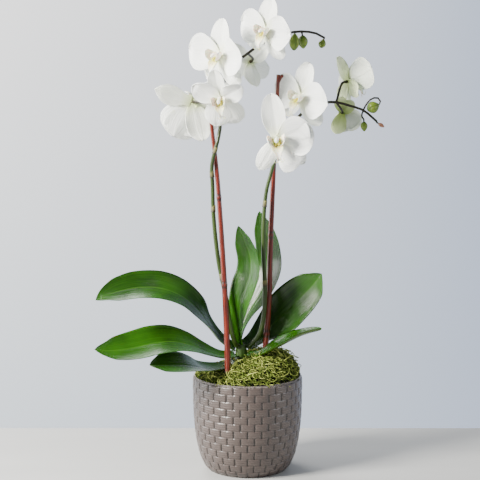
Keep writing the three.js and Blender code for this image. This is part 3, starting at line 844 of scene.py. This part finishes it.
# %% Spike shapes
def remeshed(name, node, voxel_mm, material, swell_mm=0.0):
    """A smooth, even copy of a node, a little thicker by the swell."""
    shape = merged(node)
    mesh = bpy.data.meshes.new(name)
    shape.to_mesh(mesh)
    shape.free()
    mesh.materials.append(material)
    piece = stand(name, mesh)
    remesh = piece.modifiers.new("even", "REMESH")
    remesh.mode = "VOXEL"
    remesh.voxel_size = voxel_mm * MM
    remesh.use_smooth_shade = True
    smooth = piece.modifiers.new("round", "LAPLACIANSMOOTH")
    smooth.iterations = 6
    smooth.lambda_factor = 0.6
    settle(piece)
    normals = [vert.normal.copy() for vert in piece.data.vertices]
    for vert, normal in zip(piece.data.vertices, normals):
        vert.co += normal * swell_mm * MM
    return piece


STEM_GRID, STEM_SWELL, CROWN_GRID = 0.42, 0.32, 0.7     # mm
SPIKE_NODES = {                   # how high the scaly nodes of each spike are
    "flower_spike_left": (0.247, 0.334, 0.378, 0.408),
    "flower_spike_right": (0.238, 0.339),
}
SLICE, SCALE_RISE = 1.2 * MM, 6 * MM


def bract(stem, z):
    """A small clasping scale round a stem at a height."""
    def slice_at(height):
        return [v.co for v in stem.data.vertices if abs(v.co.z - height) < SLICE]

    near = slice_at(z)
    centre, above = middle(near), middle(slice_at(z + SCALE_RISE))
    radius = sorted((p - centre).length for p in near)[len(near) // 2]

    def scale_radius(share, angle):
        hug = radius + (0.45 - 0.3 * share) * MM
        return hug * (1 + 0.12 * math.exp(-(share / 0.08) ** 2) + 0.1 * share * math.cos(angle))
    return tube([centre, centre.lerp(above, 0.5), centre.lerp(above, 1.3)], scale_radius, 10, 18)


bract_skin, tree, shader = surface("dry_stem_scale", roughness=0.6)
paint(tree, shader, blended(tree, own(tree, "along"), "#211d0c", "#75713f"))
for name, heights in SPIKE_NODES.items():
    stem = remeshed(name + "_stem", name, STEM_GRID, spike_skin, STEM_SWELL)
    points, faces, numbers = gather(*(bract(stem, z) for z in heights))
    place(stem, "stem", name)
    scales = new_object(name + "_scales", points, faces, [bract_skin], numbers)
    outward(scales)
    place(scales, "stem")
leaf_bases, tree, shader = surface("clasping_leaf_bases", roughness=0.4)
paint(tree, shader, blended(tree, speckle(tree, 9, 3, (1, 1, 0.2)), "#122404", "#35500f"))
place(remeshed("crown_base", "crown_stem", CROWN_GRID, leaf_bases), "stem", "crown_stem")

# %% [markdown]
# ## Flowers
# A moth orchid flower has three narrow sepals behind, two broad petals in front, and a
# small coloured lip under a white column. The frame's plain whorls give each flower its
# heart, its facing, and each lobe's direction, length and tip. Every lobe is then drawn as
# one curved sheet, with ribs that fan out from its foot, and thickened.


# %% Read a flower's pose
SEPAL_HALF, PETAL_HALF = math.radians(35), math.radians(58)    # where a lobe's sides are
TIPS_APART, TIP_ALONE = 0.4, 0.25      # radians between two tips, and to the next lower point


class Flower:
    """A flower's heart, facing and lobes, read from its three nodes."""

    def __init__(self, number):
        self.number = number
        self.random = random.Random(number)
        sepals, petals = self.whorl("sepals"), self.whorl("petals")
        self.heart = sepals[0]
        self.forward = (petals[0] - sepals[0]).normalized()
        lip = merged(f"flower_{number}_lip")
        lip_lean = middle([v.co for v in lip.verts]) - self.heart
        lip.free()
        lip_lean -= self.forward * lip_lean.dot(self.forward)
        self.up = -lip_lean.normalized()
        self.right = self.up.cross(self.forward)
        dorsal = min(self.lobes(sepals[1], sepals[0], 3, SEPAL_HALF), key=lambda one: abs(one[0]))
        self.up = (math.cos(dorsal[0]) * self.up + math.sin(dorsal[0]) * self.right).normalized()
        self.right = self.up.cross(self.forward)
        self.sepals = self.lobes(sepals[1], sepals[0], 3, SEPAL_HALF)
        self.petals = self.lobes(petals[1], petals[0], 2, PETAL_HALF)
        self.petal_lift = (petals[0] - sepals[0]).length

    def whorl(self, part):
        shape = merged(f"flower_{self.number}_{part}")
        poles = [v.co.copy() for v in poles_of(shape)]
        points = [v.co.copy() for v in shape.verts]
        shape.free()
        return middle(poles), points

    def lobes(self, points, heart, count, half_spread):
        """(angle from up, length, rise, half width) of each lobe, longest first."""
        polar = []
        for point in points:
            away = point - heart
            x, y = away.dot(self.right), away.dot(self.up)
            polar.append((math.atan2(x, y), math.hypot(x, y), away.dot(self.forward)))

        def near(angle, limit):
            for other, reach, _ in polar:
                gap = abs(math.remainder(other - angle, 2 * math.pi))
                if gap < limit:
                    yield gap, reach
        tips = []
        for angle, reach, rise in sorted(polar, key=lambda one: -one[1]):
            if len(tips) == count:
                break
            apart = all(abs(math.remainder(angle - tip[0], 2 * math.pi)) > TIPS_APART for tip in tips)
            if apart and reach >= max(other for _, other in near(angle, TIP_ALONE)) - 1e-7:
                width = max(other * math.sin(gap) for gap, other in near(angle, half_spread))
                tips.append((angle, reach, rise, width))
        return tips

    def out(self, x, y, z):
        """A point from the flower's own right, up and forward."""
        return self.heart + self.right * x + self.up * y + self.forward * z


flowers = [Flower(number) for number in range(1, 10)]
for flower in flowers:
    print("flower", flower.number, "faces", [round(v, 2) for v in flower.forward],
          len(flower.sepals), "sepals", len(flower.petals), "petals")

# %% [markdown]
# Petals are waxy: light goes in a little and comes back soft. Fine veins fan out along
# each lobe, the heart is faintly green-yellow, and the backs of the sepals are greener.


# %% Petal finishes
def petal_finish(name, face, heart, rib):
    made, tree, shader = surface(
        name, roughness=0.5, ior=1.42, subsurface_weight=0.2, subsurface_scale=0.0035,
        subsurface_radius=(1.0, 1.0, 0.85))
    along, vein = own(tree, "along"), grain(tree, "across", 16.0, 1.8, 2.0)
    tint = blended(tree, spread(tree, vein, 0.35, 0.75), face, rib)
    tint = blended(tree, spread(tree, along, 0.34, 0.04), tint, heart)
    tint = blended(tree, own(tree, "fresh"), tint, blended(tree, along, "#9fb653", "#d3deaa"))
    paint(tree, shader, tint, vein, 0.5)
    return made


petal_face = petal_finish("waxy_white_petal", "#f6f7f4", "#e9ecce", "#e8ebe6")
petal_back = petal_finish("waxy_petal_back", "#f3f5f0", "#dde3b4", "#e7ebe2")
sepal_face = petal_finish("waxy_white_sepal", "#f5f6f2", "#e6eac8", "#e7eae2")
sepal_back = petal_finish("green_flushed_sepal_back", "#f3f5ee", "#ccd69c", "#e9edda")


# %% Draw one lobe
LOBE_STEPS, LOBE_ACROSS = 26, 18
RIB = 0.12                        # the middle groove's half width, as a share of the lobe's


def sheet_faces(steps, wide):
    """The faces of a sheet whose points come in rows of wide + 1."""
    corners = (i * (wide + 1) + k for i in range(steps) for k in range(wide))
    return [(a, a + 1, a + wide + 2, a + wide + 1) for a in corners]


def thicken(piece, thickness, offset=0.0):
    """Makes a sheet solid, with its last finish on its back."""
    solid = piece.modifiers.new("thickness", "SOLIDIFY")
    solid.thickness, solid.offset = thickness, offset
    solid.material_offset = len(piece.data.materials) - 1
    settle(piece)


def lobe_sheet(flower, angle, length, rise, half, lift, shape):
    """A curved sheet for one lobe. shape holds its width, fullness and curl."""
    chance = flower.random
    wave, phase = chance.uniform(0.7, 1.3), chance.uniform(0, 6.28)
    curl = shape["curl"] * chance.uniform(0.7, 1.3)
    way = Vector((math.sin(angle), math.cos(angle)))
    side = Vector((way.y, -way.x))
    fresh = FRESH.get(flower.number, FULLY_OPEN) * shape.get("fresh", 1)
    points = []
    numbers = {"across": [], "along": [], "number": [], "fresh": []}
    for i in range(LOBE_STEPS + 1):
        s = 1 - (1 - i / LOBE_STEPS) ** 1.7
        full = half * shape["width"]
        width = full * math.sin(math.pi * s ** shape["fullest"]) ** shape["blunt"]
        width = max(width, length * shape["claw"] * (1 - s)) if i < LOBE_STEPS else 0.0
        for k in range(LOBE_ACROSS + 1):
            t = math.sin(math.pi / 2 * (2 * k / LOBE_ACROSS - 1))
            x, y = (way * (s * length) + side * (t * width))
            z = lift + rise * s * s
            z += shape["cup"] * length * (t * t) * smoothstep(s, 0, 0.5) * (width / full)
            z -= shape["groove"] * MM * math.exp(-(t / RIB) ** 2) * smoothstep(s, 0.05, 0.3)
            swing = math.sin(phase + 7 * s + (2 if t > 0 else 0))
            z += shape["ripple"] * MM * wave * abs(t) ** 3 * swing
            z -= curl * length * smoothstep(s, 0.72, 1.0) ** 2
            points.append(flower.out(x, y, z))
            numbers["across"].append(t)
            numbers["along"].append(s)
            numbers["number"].append(angle + flower.number)
            numbers["fresh"].append(fresh)
    return points, sheet_faces(LOBE_STEPS, LOBE_ACROSS), numbers


FULLY_OPEN = 0.04                 # how green an old flower still is
FRESH = {8: 0.75, 9: 1.0}         # the youngest flowers are still green
SEPAL = {"width": 1.0, "fullest": 1.22, "blunt": 0.44, "claw": 0.16, "cup": -0.05,
         "groove": 0.9, "ripple": 0.9, "curl": 0.06}
DORSAL = {**SEPAL, "cup": 0.08, "curl": -0.03}
PETAL = {"width": 1.05, "fullest": 1.2, "blunt": 0.5, "claw": 0.12, "cup": 0.1,
         "groove": 0.9, "ripple": 1.7, "curl": 0.06}
# Petals that have rolled in at their margins, by flower and whether it is the right one.
ROLLED = {(3, True): 0.72, (3, False): 0.72, (6, False): 0.6}
SLIM = {3: 0.8, 6: 0.78}          # flowers with slim sepals
POINTED = {4: 0.8}                # flowers whose upper sepal runs to a point
UPRIGHT = 0.4                     # radians within which a sepal is the upper one
PETAL_FRESH = 0.35                # how much of a flower's green its petals show
SHEET = 0.7 * MM                  # a petal's thickness
SAME_POINT = 1e-6


def whorl_piece(flower, part, lobes, finishes, slot):
    sheets = []
    for angle, length, rise, half in lobes:
        if part == "petals":
            rolled = PETAL["width"] * ROLLED.get((flower.number, angle > 0), 1)
            shape, lift = {**PETAL, "width": rolled, "fresh": PETAL_FRESH}, flower.petal_lift
        else:
            kind, lift = (DORSAL if abs(angle) < UPRIGHT else SEPAL), 0.0
            shape = {**kind, "width": SLIM.get(flower.number, 1.0)}
            if kind is DORSAL:
                shape["blunt"] = POINTED.get(flower.number, DORSAL["blunt"])
        sheets.append(lobe_sheet(flower, angle, length, rise, half, lift, shape))
    node = f"flower_{flower.number}_{part}"
    points, faces, numbers = gather(*sheets)
    piece = new_object(node + "_living", points, faces, finishes, numbers)
    shape = bmesh.new()
    shape.from_mesh(piece.data)
    bmesh.ops.remove_doubles(shape, verts=shape.verts, dist=SAME_POINT)
    shape.normal_update()
    if sum(face.normal.dot(flower.forward) for face in shape.faces) < 0:
        bmesh.ops.reverse_faces(shape, faces=shape.faces)
    shape.to_mesh(piece.data)
    shape.free()
    thicken(piece, SHEET, -1.0 if part == "sepals" else 0.0)
    place(piece, slot, node)


for flower in flowers:
    whorl_piece(flower, "sepals", flower.sepals, [sepal_face, sepal_back], "petal")
    whorl_piece(flower, "petals", flower.petals, [petal_face, petal_back], "petal")

# %% [markdown]
# ## Lips and columns
# The lip is three-lobed. Two side lobes stand up like wings on either side of the column,
# and the middle lobe runs forward to a pair of thin whiskers. A small yellow callus sits
# between them. Red-brown spots cover the base of all of it, denser near the callus.

# %% Lip finishes
SPOT_SIZE = 2.1 * MM
lip_tissue, tree, shader = surface("spotted_lip_tissue", roughness=0.42, ior=1.42,
                                   subsurface_weight=0.25, subsurface_scale=0.002)
spots = add(tree, "ShaderNodeTexVoronoi", {
    "Vector": add(tree, "ShaderNodeTexCoord").outputs["Object"],
    "Scale": 1 / SPOT_SIZE, "Randomness": 0.9,
}).outputs["Distance"]
yellow = blended(tree, own(tree, "yellow"), "#f6f4e6", "#c6bf4c")
spotted = calc(tree, "MULTIPLY", spread(tree, spots, 0.36, 0.24), own(tree, "spotted"))
paint(tree, shader, blended(tree, spotted, yellow, "#51300e"), speckle(tree, 1.0), 0.12)

column_tissue, tree, shader = surface("waxy_white_column", roughness=0.4, ior=1.42,
                                      subsurface_weight=0.3, subsurface_scale=0.003)
pearl = blended(tree, speckle(tree, 3), "#f7f6f0", "#efe9dc")
paint(tree, shader, pearl, speckle(tree, 0.9), 0.06)

# %% [markdown]
# Each part of a lip follows a route, in mm to the right, up and forward from the lip's
# root. A paired part is given for the right, and the left one is its mirror image. Its
# yellow and its spots each have an amount, and a place where they fade and where they end.

# %% Lip routes
LIP_REACH = 11.5                  # mm that a lip of this size hangs below the heart
LIP_SHEET = 0.8 * MM
MIDDLE_LOBE = ((0, -1, 0.4), (0, -4, 4.5), (0, -8, 8), (0, -12.5, 9), (0, -16, 7.5))
WING = ((1.4, -1.8, 1), (4.5, -1.0, 3.5), (7.2, 1.5, 6), (7.4, 5.2, 8.4))
WHISKER = ((0.8, -15.6, 7.8), (2.4, -17.2, 8.6), (4.0, -15.8, 10), (3.4, -13.6, 10.6))
CALLUS = ((1.1, -2.2, 2.6), (1.3, -3.0, 4.6), (1.2, -4.4, 6.0))
COLUMN = ((0, 0.4, -0.2), (0, 1.2, 2), (0, 1.8, 5), (0, 1.0, 8.2))
CAP = ((0, 1.0, 7.4), (0, 0.6, 8.6), (0, -0.2, 9.6))


def middle_half(s):
    return 1.6 + 4.4 * math.exp(-((s - 0.42) / 0.2) ** 2) * (1 - s) + 1.2 * (1 - s)


def wing_half(s):
    return 1.6 + 3.4 * math.sin(math.pi * min(1, s * 0.92 + 0.04)) ** 0.8


def whisker_radius(s):
    return 0.42 - 0.3 * s


def callus_radius(s):
    return 1.25 * math.sin(math.pi * (0.12 + 0.84 * s))


def column_radius(s):
    waist = 1 - 0.28 * math.sin(math.pi * s)
    return 2.2 * waist * math.sqrt(1 - 0.8 * smoothstep(s, 0.86, 1.0))


def cap_radius(s):
    return 1.6 * math.sin(math.pi * (0.2 + 0.76 * s)) ** 0.7


# %% Draw a lip
RIBBON_STEPS, RIBBON_ACROSS, NEXT = 16, 10, 0.02


def ribbon(flower, spine, half_at, cup, hollow, yellow, spotted):
    """A cupped sheet along a spine; hollow is the way that its hollow looks."""
    hollow = Vector(hollow).normalized()
    points, numbers = [], {"yellow": [], "spotted": []}
    for i in range(RIBBON_STEPS + 1):
        s = i / RIBBON_STEPS
        centre, half = along_curve(spine, s), half_at(s)
        before, after = along_curve(spine, max(0, s - NEXT)), along_curve(spine, min(1, s + NEXT))
        ahead = (after - before).normalized()
        side = ahead.cross(hollow).normalized()
        up = side.cross(ahead)
        for k in range(RIBBON_ACROSS + 1):
            t = 2 * k / RIBBON_ACROSS - 1
            points.append(flower.out(*(centre + side * (t * half) + up * (cup * t * t * half))))
            for key, (amount, start, end) in (("yellow", yellow), ("spotted", spotted)):
                numbers[key].append(amount * (1 - smoothstep(s, start, end)))
    return points, sheet_faces(RIBBON_STEPS, RIBBON_ACROSS), numbers


def lip_base(flower):
    """How far the plain lip stands before the heart, and how big the lip is."""
    shape = merged(f"flower_{flower.number}_lip")
    away = [v.co - flower.heart for v in shape.verts]
    shape.free()
    return min(p.dot(flower.forward) for p in away), max(-p.dot(flower.up) for p in away)


def lip(flower):
    name = f"flower_{flower.number}"
    base, reach = lip_base(flower)
    size = reach / (LIP_REACH * MM)

    def route(rows, way):
        return [Vector((way * x * size, y * size, z * size + base / MM)) * MM for x, y, z in rows]

    def lobe(rows, half_at, cup, hollow, yellow, spotted, way=1):
        return ribbon(flower, route(rows, way), lambda s: half_at(s) * size * MM, cup, hollow,
                      yellow, spotted)

    def stalk(rows, radius, steps, sides, yellow=0.0, spotted=0.0, way=1, squash=1.0):
        spine = [flower.out(*point) for point in route(rows, way)]
        points, faces, _ = tube(spine, lambda s, _angle: radius(s) * size * MM, steps, sides, squash)
        return points, faces, {"yellow": [yellow] * len(points), "spotted": [spotted] * len(points)}

    middle_lobe = lobe(MIDDLE_LOBE, middle_half, 0.35, (0, 0.5, 1), (1.0, 0.1, 0.75), (0.9, 0.2, 0.6))
    wings = [lobe(WING, wing_half, 0.3, (-way, 0.4, 0.3), (0.85, 0.05, 0.6), (0.95, 0.25, 0.85), way)
             for way in (-1, 1)]
    points, faces, numbers = gather(middle_lobe, *wings)
    sheet = new_object(name + "_lip_lobes", points, faces, [lip_tissue], numbers)
    thicken(sheet, LIP_SHEET)
    rounded = sheet.modifiers.new("round", "SUBSURF")
    rounded.levels = rounded.render_levels = 1
    settle(sheet)
    place(sheet, "lip", name + "_lip")

    whiskers = [stalk(WHISKER, whisker_radius, 10, 6, 0.5, 0.0, way) for way in (-1, 1)]
    callus = [stalk(CALLUS, callus_radius, 8, 10, 1.0, 0.8, way) for way in (-1, 1)]
    points, faces, numbers = gather(*whiskers, *callus)
    trim = new_object(name + "_lip_callus", points, faces, [lip_tissue], numbers)
    outward(trim)
    place(trim, "lip")

    column, cap = stalk(COLUMN, column_radius, 18, 16, squash=0.9), stalk(CAP, cap_radius, 10, 14)
    points, faces, numbers = gather(column, cap)
    post = new_object(name + "_column", points, faces, [column_tissue], numbers)
    outward(post)
    place(post, "petal")


for flower in flowers:
    lip(flower)

# %% [markdown]
# ## Buds
# A bud is an egg of closed lobes, so three seams run from its foot to its tip. The fat ones
# are fresh green, and the last one, at the very tip, is still tiny and pinkish.


# %% Bud finishes and shapes
def bud_finish(name, dark, light, seam):
    made, tree, shader = surface(name, roughness=0.4, ior=1.45,
                                 subsurface_weight=0.12, subsurface_scale=0.002)
    tone = blended(tree, speckle(tree, 7), dark, light)
    tone = blended(tree, own(tree, "seam"), tone, seam)
    tone = blended(tree, spread(tree, own(tree, "along"), 0.25, 0.0), tone, dark)
    paint(tree, shader, tone, speckle(tree, 1.1), 0.12)
    return made


bud_green = bud_finish("green_bud_skin", "#3c5510", "#869a2e", "#26380c")
bud_pink = bud_finish("young_bud_skin", "#6d4a32", "#b07a60", "#3f2c1c")
YOUNGEST = "bud_6"


def bud(name):
    shape = merged(name)
    start, rings, end = rings_of(shape)
    shape.free()
    widths = [(ring[0] - middle(ring)).length for ring in rings]
    if widths.index(max(widths)) > len(widths) / 2:
        start, end = end, start
    width = max(widths)

    def radius(share, angle):
        egg = width * math.sin(math.pi * min(1.0, 0.045 + 0.915 * share ** 0.92)) ** 0.82
        seams = abs(math.cos(1.5 * angle)) ** 40
        return egg * (1 - 0.09 * seams * math.sin(math.pi * share))

    points, faces, numbers = tube([start, start.lerp(end, 0.5), end], radius, 30, 48)
    numbers["seam"] = [0.6 * abs(math.cos(3 * math.pi * around)) ** 60
                       for around in numbers["around"]]
    finish = bud_pink if name == YOUNGEST else bud_green
    piece = new_object(name + "_skin", points, faces, [finish], numbers)
    outward(piece)
    place(piece, "bud", name)


for number in range(1, 7):
    bud(f"bud_{number}")

# %% [markdown]
# ## The studio
# The pot stands on a plain pale table top. Behind the table is only soft, even light, a
# little brighter on the left. The strongest soft light stands at the left front, weaker
# ones fill in from the left and the right, and one hangs behind, so the leaves shine.

# %% Table
low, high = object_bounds()
TABLE_HALF, TABLE_FRONT, TABLE_BACK, TABLE_THICK = 1.6, -1.2, 0.194, 0.04
table_paint, tree, shader = surface("pale_table_paint", roughness=0.6)
pale = blended(tree, speckle(tree, 60, 4, (0.15, 1, 1)), "#a8a8a6", "#b6b6b4")
paint(tree, shader, pale)
outline = ((-TABLE_HALF, TABLE_FRONT), (TABLE_HALF, TABLE_FRONT),
           (TABLE_HALF, TABLE_BACK), (-TABLE_HALF, TABLE_BACK))
corners = [(x, y, low.z - drop) for drop in (0, TABLE_THICK) for x, y in outline]
table = new_object("table_top", corners, [
    (0, 1, 2, 3), (7, 6, 5, 4), (0, 4, 5, 1), (1, 5, 6, 2), (2, 6, 7, 3), (3, 7, 4, 0)], [table_paint])
table.data.shade_flat()
table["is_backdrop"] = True


# %% Lights
def soft_light(name, at, aim, watts, size, colour):
    """A square area light that looks at a point."""
    data = bpy.data.lights.new(name, "AREA")
    data.energy, data.size, data.color = watts, size, linear(colour)[:3]
    made = stand(name, data)
    made.location = at
    made.rotation_euler = (Vector(aim) - Vector(at)).to_track_quat("-Z", "Y").to_euler()


heart = (low + high) / 2
soft_light("key", (-1.15, -0.7, 1.0), (0, 0, 0.45), 102, 0.5, "#fffcf5")
soft_light("left", (-1.4, 0.2, 0.45), heart, 14, 0.7, "#ffffff")
soft_light("right", (1.5, -0.5, 0.7), (0, 0, 0.15), 9, 0.5, "#ffffff")
soft_light("back", (-0.5, 0.9, 1.3), heart, 20, 0.7, "#ffffff")

# %% [markdown]
# The light from all round is pale grey-blue, brighter on the left, and dimmer from the
# front, where a studio's room is dark. It depends only on the direction in the room.

# %% Light from all round
ROOM_STRENGTH = 2.0
world = bpy.data.worlds.new("soft_light_behind")
world.use_nodes = True
tree = world.node_tree
direction = add(tree, "ShaderNodeTexCoord").outputs["Generated"]
toward = add(tree, "ShaderNodeSeparateXYZ", {0: direction}).outputs
left_side = blended(tree, spread(tree, toward[2], -0.28, 0.0), "#d3dce4", "#ffffff")
haze = blended(tree, spread(tree, toward[0], -0.16, 0.16), left_side, "#a2adc0")
haze = blended(tree, spread(tree, toward[1], 0.5, -0.4), haze, "#767c84")
haze = blended(tree, spread(tree, toward[2], 0.15, 0.7), haze, "#5c626a")
background = tree.nodes["Background"]
tree.links.new(haze, background.inputs[0])
background.inputs[1].default_value = ROOM_STRENGTH
bpy.context.scene.world = world

# %% Camera
CAMERA_AT = Vector((-0.0096, -2.0, 0.5843))
CAMERA_DROP = math.radians(8.2)
camera_data = bpy.data.cameras.new("camera")
camera_data.lens, camera_data.sensor_width = 119.85, 36.0
camera = stand("camera", camera_data)
camera.location = CAMERA_AT
camera.rotation_euler = (math.pi / 2 - CAMERA_DROP, 0, 0)
bpy.context.scene.camera = camera

# %% Measure and finish
new_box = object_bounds()
for title, box in (("visual box", new_box), ("cad box", CAD_BOX)):
    print(title, [[round(c, 4) for c in v] for v in box])
